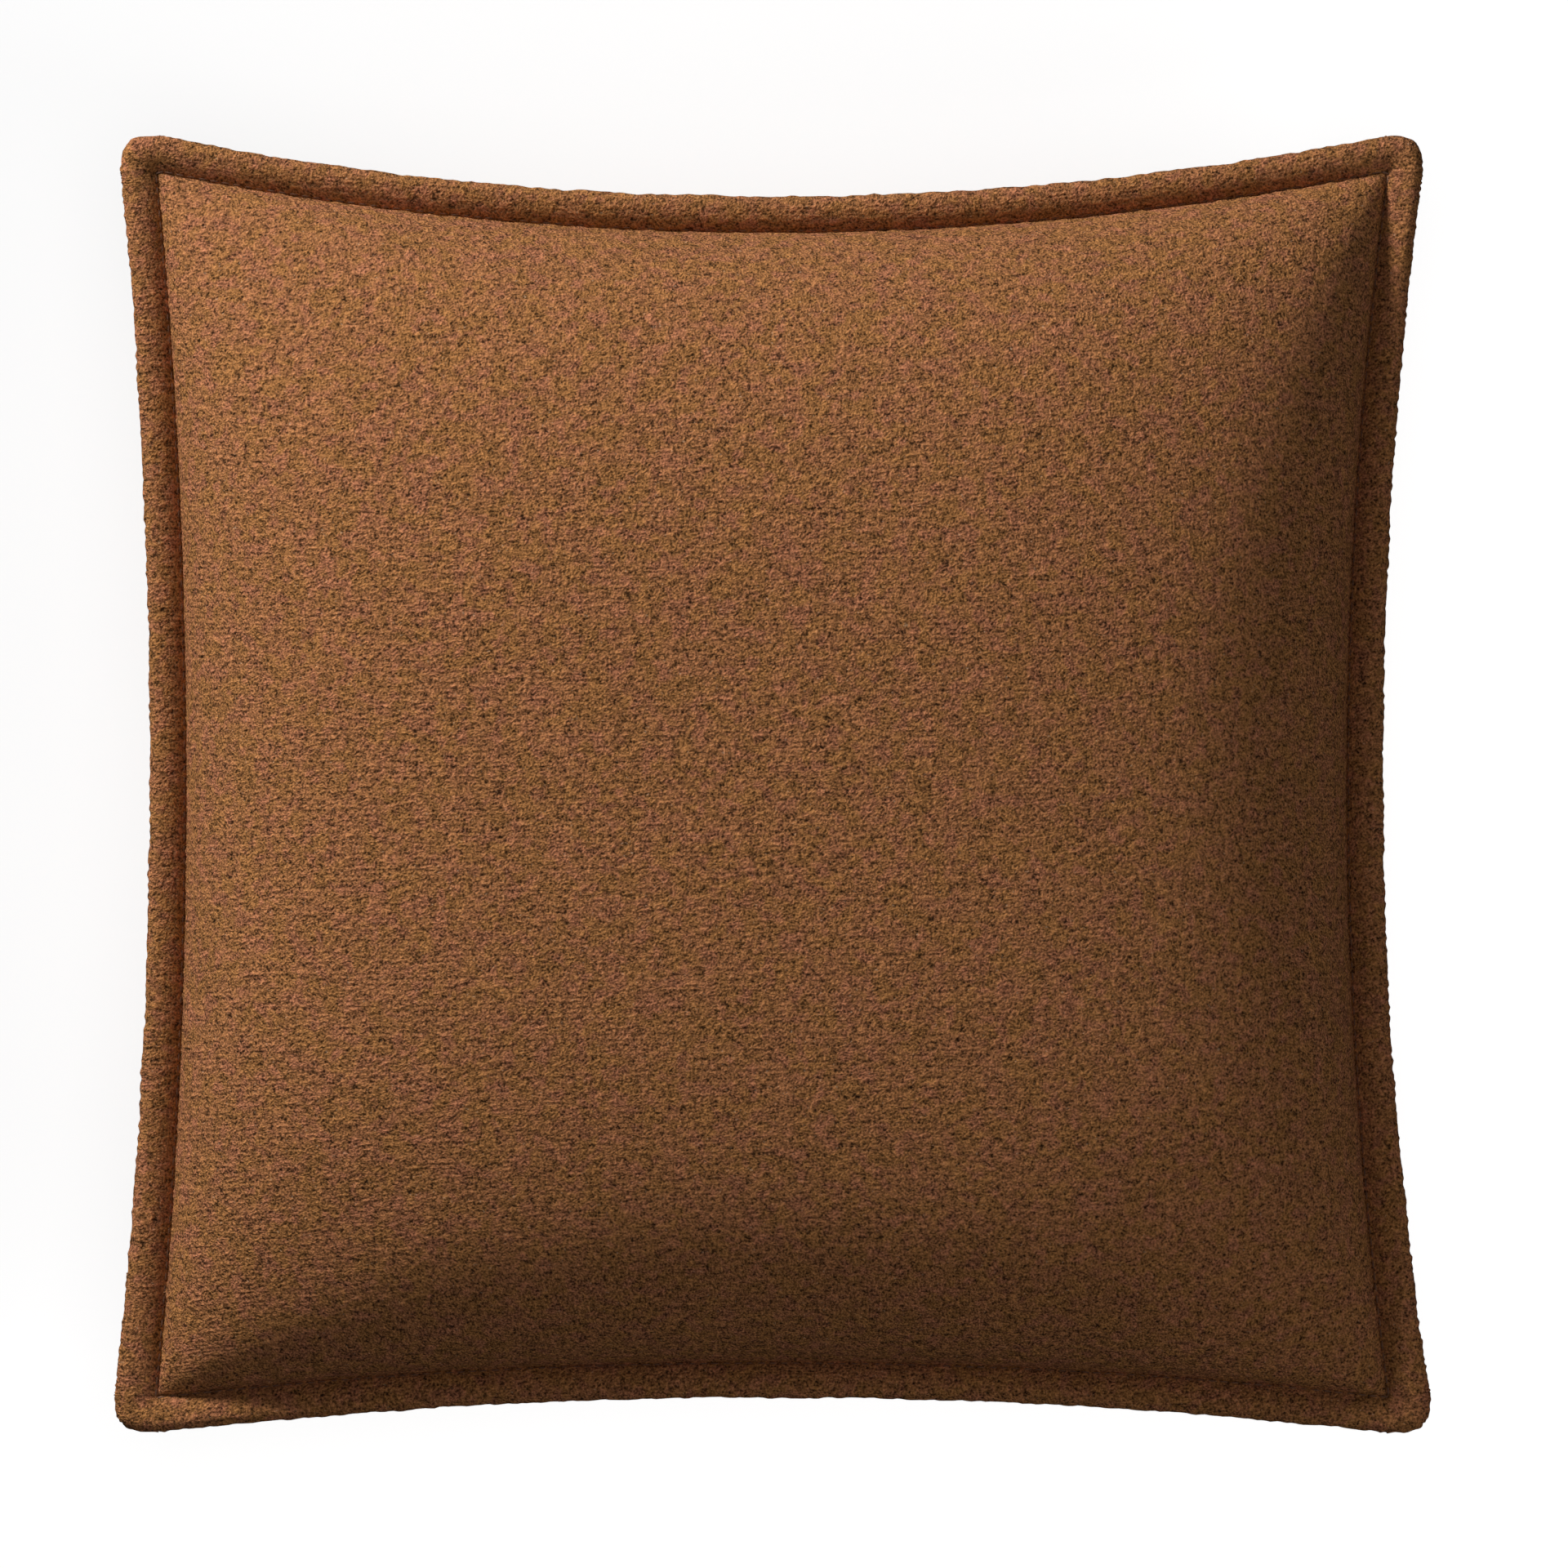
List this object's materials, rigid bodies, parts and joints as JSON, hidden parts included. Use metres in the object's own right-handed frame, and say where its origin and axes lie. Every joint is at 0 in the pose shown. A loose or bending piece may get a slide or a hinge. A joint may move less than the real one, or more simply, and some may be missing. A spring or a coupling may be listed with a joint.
{
  "type": "throw pillow",
  "caption": "Square knit throw pillow with a stitched flange all round, a zipped removable cover and a filled insert.",
  "frame": {"origin": "centre of the bounding box at the height of the face the pillow rests on", "axes": "+Z out of the front face, +Y towards the top edge, +X towards the right edge as the front is seen"},
  "size_m": [0.457, 0.45, 0.13],
  "materials": {
    "cover_fabric": "matte",
    "sewing_thread": "matte",
    "zip_tape": "matte",
    "zip_chain": "satin",
    "zip_metal": "satin",
    "insert_cloth": "matte",
    "insert_filling": "matte",
    "insert_thread": "matte",
    "blank_label": "satin"
  },
  "bodies": {
    "pillow": {"cover_front_panel": "cover_fabric", "cover_back_upper_panel": "cover_fabric", "cover_back_lower_panel": "cover_fabric", "flange_needle_thread": "sewing_thread", "flange_bobbin_thread": "sewing_thread", "edge_seam_thread": "sewing_thread", "back_join_thread_left": "sewing_thread", "back_join_thread_right": "sewing_thread", "zip_tape_upper": "zip_tape", "zip_tape_lower": "zip_tape", "zip_coil_upper": "zip_chain", "zip_coil_lower": "zip_chain", "zip_stitch_upper": "sewing_thread", "zip_stitch_lower": "sewing_thread", "zip_top_stop_upper": "zip_metal", "zip_top_stop_lower": "zip_metal", "zip_bottom_stop": "zip_metal", "bar_tack_left": "sewing_thread", "bar_tack_right": "sewing_thread", "insert_front_shell": "insert_cloth", "insert_back_shell": "insert_cloth", "insert_fill": "insert_filling", "insert_seam_thread": "insert_thread", "insert_closing_stitch": "insert_thread", "cover_care_label": "blank_label", "insert_label": "blank_label"},
    "zip_slider": {"zip_slider_body": "zip_metal"},
    "pull_tab": {"zip_pull_tab": "zip_metal"}
  },
  "joints": [
    {"name": "zip_slide", "type": "hinge", "parent": "pillow", "child": "zip_slider", "pos_m": [0, -0.1727, 1.71282], "axis": [0, 1, 0], "range_deg": [0, 9.63]},
    {"name": "tab_swing", "type": "hinge", "parent": "zip_slider", "child": "pull_tab", "pos_m": [0.14262, -0.17491, 0.02105], "axis": [-0.0454, -0.8415, 0.5383], "range_deg": [-78.3, 89.7]}
  ]
}
